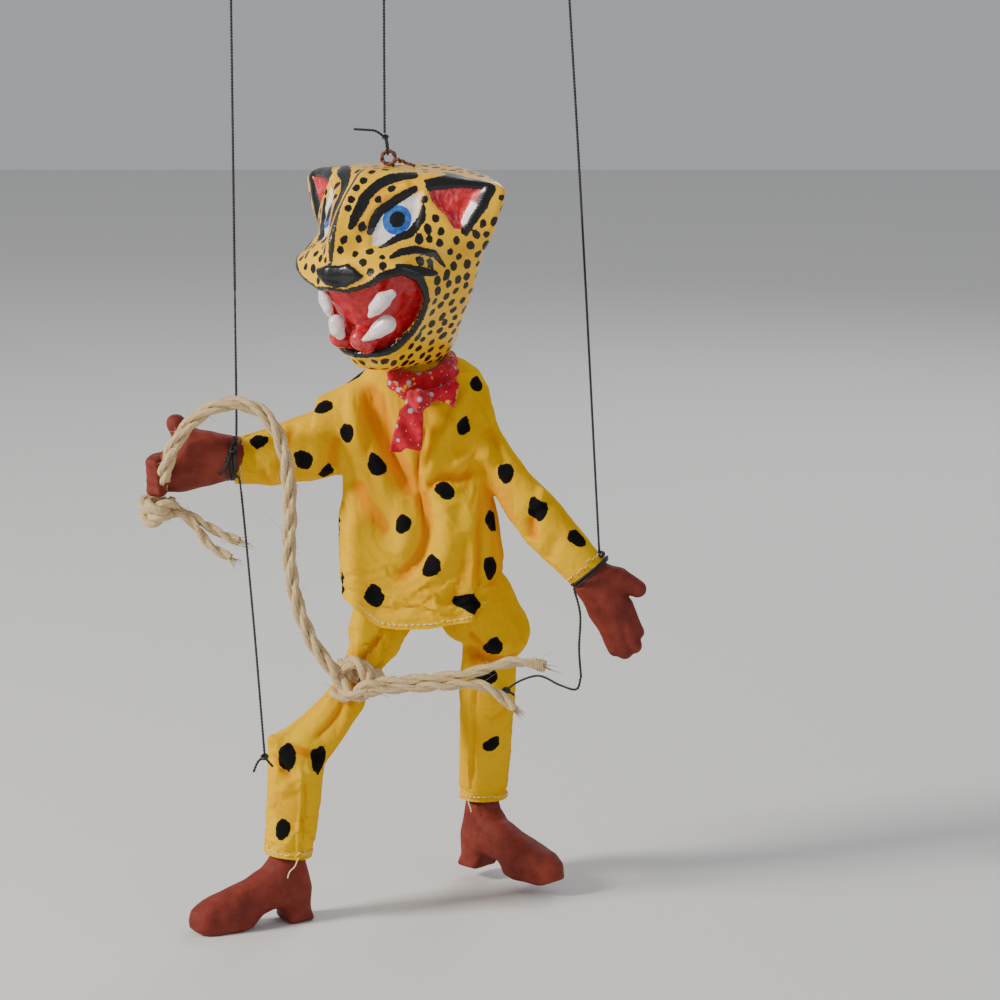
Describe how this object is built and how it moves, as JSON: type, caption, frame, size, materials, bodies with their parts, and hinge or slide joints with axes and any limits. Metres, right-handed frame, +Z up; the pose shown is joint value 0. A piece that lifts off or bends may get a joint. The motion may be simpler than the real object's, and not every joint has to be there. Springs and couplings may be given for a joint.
{
  "type": "string marionette puppet",
  "caption": "Spotted-cat dancer string marionette with papier-mache head, cotton clothes, clay hands and boots, a rope, and cords to a wooden control bar.",
  "frame": {"origin": "bottom centre of the overall box, on the plane of the right boot's sole", "axes": "+Z up, the chest faces -Y, the puppet's own left side is +X"},
  "size_m": [0.2368, 0.1164, 0.525],
  "materials": {
    "bar_wood": "raw, hand-sanded",
    "waxed_cord": "waxed cord",
    "painted_papier_mache": "hand-painted papier-mache under gloss lacquer",
    "fang_enamel": "glossy painted clay",
    "rusty_wire": "twisted wire with reddish rust",
    "steel_wire": "galvanised wire",
    "red_clay": "matte painted clay",
    "yellow_cotton": "plain-weave cotton with brushed black spots",
    "printed_kerchief": "printed cotton with small flowers",
    "sisal_rope": "twisted sisal"
  },
  "bodies": {
    "control": {"control_bar": "bar_wood"},
    "torso": {"head_string": "waxed_cord", "chest_block": "bar_wood", "hip_block": "bar_wood", "waist_stick": "bar_wood", "neck_peg": "bar_wood", "shoulder_staples": "steel_wire", "hip_staples": "steel_wire", "shirt_body": "yellow_cotton", "trouser_seat": "yellow_cotton", "neckerchief_wrap": "printed_kerchief", "neckerchief_knot": "printed_kerchief", "left_knee_string": "waxed_cord"},
    "head": {"head_shell": "painted_papier_mache", "upper_fangs": "fang_enamel", "lower_fangs": "fang_enamel", "eyelet": "rusty_wire", "head_string_knot": "waxed_cord"},
    "right_upper_arm": {"right_upper_arm_wire": "steel_wire", "right_upper_sleeve": "yellow_cotton"},
    "right_forearm": {"right_forearm_wire": "steel_wire", "right_lower_sleeve": "yellow_cotton", "right_hand": "red_clay", "right_wrist_tie": "waxed_cord", "rope_hand_knot": "sisal_rope"},
    "right_string": {"right_hand_string": "waxed_cord"},
    "right_knee_string": {"right_knee_string": "waxed_cord"},
    "rope": {"rope_span": "sisal_rope"},
    "right_thigh": {"right_thigh_wire": "steel_wire", "right_thigh_cloth": "yellow_cotton", "rope_thigh_knot": "sisal_rope", "rope_ends": "sisal_rope"},
    "right_shin": {"right_shin_wire": "steel_wire", "right_shin_cloth": "yellow_cotton", "right_knee_tie": "waxed_cord"},
    "right_foot": {"right_boot": "red_clay", "right_boot_eye": "steel_wire"},
    "left_upper_arm": {"left_upper_arm_wire": "steel_wire", "left_upper_sleeve": "yellow_cotton"},
    "left_forearm": {"left_forearm_wire": "steel_wire", "left_lower_sleeve": "yellow_cotton", "left_wrist_tie": "waxed_cord"},
    "left_hand": {"left_hand": "red_clay", "left_hand_eye": "steel_wire"},
    "left_string": {"left_hand_string": "waxed_cord"},
    "left_thigh": {"left_thigh_wire": "steel_wire", "left_thigh_cloth": "yellow_cotton", "left_knee_tie": "waxed_cord"},
    "left_shin": {"left_shin_wire": "steel_wire", "left_shin_cloth": "yellow_cotton"},
    "left_foot": {"left_boot": "red_clay", "left_boot_eye": "steel_wire"}
  },
  "joints": [
    {"name": "swing", "type": "hinge", "parent": "control", "child": "torso", "pos_m": [-0.00225, -0.00975, 0.515], "axis": [1, 0, 0], "range_deg": [-12, 12]},
    {"name": "head_turn", "type": "hinge", "parent": "torso", "child": "head", "pos_m": [0.01625, 0.01026, 0.264], "axis": [-0.1815, -0.1963, 0.9636], "range_deg": [-35, 35]},
    {"name": "right_shoulder_lift", "type": "hinge", "parent": "torso", "child": "right_upper_arm", "pos_m": [-0.02324, 0.00826, 0.246], "axis": [0, 1, 0], "range_deg": [0, 36], "deforming": ["right_hand_string", "right_knee_string", "rope_span"]},
    {"name": "right_elbow_bend", "type": "hinge", "parent": "right_upper_arm", "child": "right_forearm", "pos_m": [-0.04385, 0.00026, 0.223], "axis": [0, -1, 0], "range_deg": [0, 36]},
    {"name": "right_string_pull", "type": "slide", "parent": "torso", "child": "right_string", "axis": [-0.5023, 0, 0.8647], "range_m": [0, 0.01909]},
    {"name": "right_knee_string_follow", "type": "slide", "parent": "right_string", "child": "right_knee_string", "axis": [-0.3361, -0.9143, 0.226], "range_m": [0, 0.01364]},
    {"name": "rope_follow", "type": "slide", "parent": "right_forearm", "child": "rope", "axis": [0.5819, -0.8019, -0.1357], "range_m": [0, 0.00642]},
    {"name": "right_hip_lift", "type": "hinge", "parent": "torso", "child": "right_thigh", "pos_m": [-0.00325, 0.00826, 0.16], "axis": [-0.6606, 0.7507, 0], "range_deg": [0, 17.25]},
    {"name": "right_knee_bend", "type": "hinge", "parent": "right_thigh", "child": "right_shin", "pos_m": [-0.04675, -0.02575, 0.088], "axis": [0.6606, -0.7507, 0], "range_deg": [0, 17.25]},
    {"name": "right_ankle_tilt", "type": "hinge", "parent": "right_shin", "child": "right_foot", "pos_m": [-0.05185, -0.02675, 0.039], "axis": [-0.475, 0.88, 0], "range_deg": [-12, 12]},
    {"name": "left_shoulder_lift", "type": "hinge", "parent": "torso", "child": "left_upper_arm", "pos_m": [0.04075, 0.00726, 0.2455], "axis": [0, -1, 0], "range_deg": [0, 32], "deforming": ["left_hand_string", "left_knee_string"]},
    {"name": "left_elbow_bend", "type": "hinge", "parent": "left_upper_arm", "child": "left_forearm", "pos_m": [0.05985, -0.00175, 0.204], "axis": [0, 1, 0], "range_deg": [0, 32]},
    {"name": "left_string_pull", "type": "slide", "parent": "torso", "child": "left_string", "axis": [0.758, 0, 0.6523], "range_m": [0, 0.02519]},
    {"name": "left_wrist_swing", "type": "hinge", "parent": "left_forearm", "child": "left_hand", "pos_m": [0.08826, -0.00975, 0.1695], "axis": [0, 1, 0], "range_deg": [-12, 12]},
    {"name": "left_hip_swing", "type": "hinge", "parent": "torso", "child": "left_thigh", "pos_m": [0.02875, 0.01026, 0.16], "axis": [1, 0, 0], "range_deg": [-6, 14], "deforming": ["left_knee_string"]},
    {"name": "left_knee_swing", "type": "hinge", "parent": "left_thigh", "child": "left_shin", "pos_m": [0.04426, 0.01426, 0.11], "axis": [1, 0, 0], "range_deg": [-8, 14]},
    {"name": "left_ankle_tilt", "type": "hinge", "parent": "left_shin", "child": "left_foot", "pos_m": [0.04075, 0.04426, 0.048], "axis": [-0.667, -0.745, 0], "range_deg": [-12, 12]}
  ],
  "couplings": [
    {"joint": "right_elbow_bend", "follows": "right_shoulder_lift", "ratio": 1},
    {"joint": "right_string_pull", "follows": "right_shoulder_lift", "m_per_rad": 0.030372},
    {"joint": "right_knee_string_follow", "follows": "right_shoulder_lift", "m_per_rad": 0.021702},
    {"joint": "rope_follow", "follows": "right_shoulder_lift", "m_per_rad": 0.010216},
    {"joint": "right_hip_lift", "follows": "right_shoulder_lift", "ratio": 0.47917},
    {"joint": "right_knee_bend", "follows": "right_shoulder_lift", "ratio": 0.47917},
    {"joint": "left_elbow_bend", "follows": "left_shoulder_lift", "ratio": 1},
    {"joint": "left_string_pull", "follows": "left_shoulder_lift", "m_per_rad": 0.045094}
  ]
}
